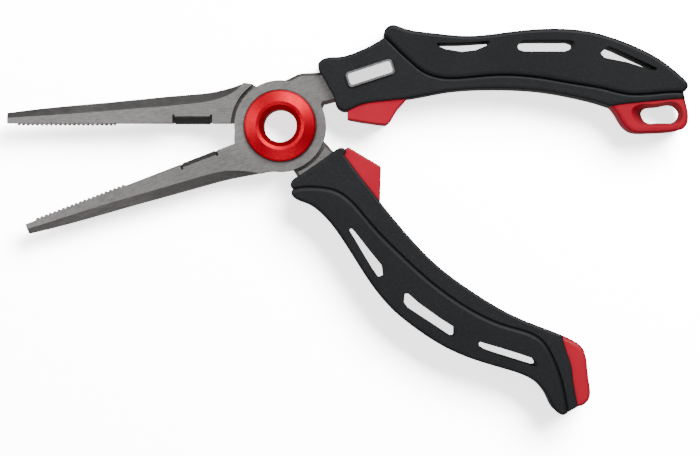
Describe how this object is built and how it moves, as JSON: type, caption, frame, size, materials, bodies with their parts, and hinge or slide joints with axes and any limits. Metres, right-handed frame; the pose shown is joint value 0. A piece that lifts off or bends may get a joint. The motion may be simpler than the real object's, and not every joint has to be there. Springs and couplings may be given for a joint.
{
  "type": "fishing pliers",
  "caption": "Long-nose fishing pliers with toothed jaws, side cutters, a ring pivot, contoured black grips and magnetic return.",
  "frame": {"origin": "on the pivot axis, on the parting plane between the two levers", "axes": "+Z along the pivot axis to the front face, -X along the upper jaw to its tip"},
  "size_m": [0.2068, 0.118, 0.017],
  "materials": {
    "lever_steel": "brushed along the jaws, darker ground bevels",
    "cutter_carbide": "dark ground carbide",
    "collar_red": "red anodised, turned",
    "washer_steel": "dark, turned",
    "core_black": "fine-grained hard plastic",
    "pad_black": "fine-grained soft plastic",
    "plastic_red": "satin",
    "magnet": "nickel plated",
    "plate_silver": "polished edge",
    "inlay_white": "satin"
  },
  "bodies": {
    "rear": {"rear_lever": "lever_steel", "upper_cutter": "cutter_carbide", "pivot_sleeve": "collar_red", "pivot_ring_nut": "collar_red", "lap_washer": "washer_steel", "front_collar_washer": "washer_steel", "rear_collar_washer": "washer_steel", "lower_grip_core": "core_black", "lower_grip_pad": "pad_black", "lower_magnet_housing": "plastic_red", "lower_magnet": "magnet", "lower_end_cap": "plastic_red"},
    "front": {"front_lever": "lever_steel", "lower_cutter": "cutter_carbide", "upper_grip_core": "core_black", "upper_grip_pad": "pad_black", "upper_magnet_housing": "plastic_red", "upper_magnet": "magnet", "lanyard_end_cap": "plastic_red", "badge_plate": "plate_silver", "badge_inlay": "inlay_white"}
  },
  "joints": [
    {"name": "pivot", "type": "hinge", "parent": "rear", "child": "front", "pos_m": [0, 0, 0], "axis": [0, 0, -1], "range_deg": [0, 21], "stiffness_Nm_per_rad": 0.02, "springref_deg": -17.19}
  ]
}
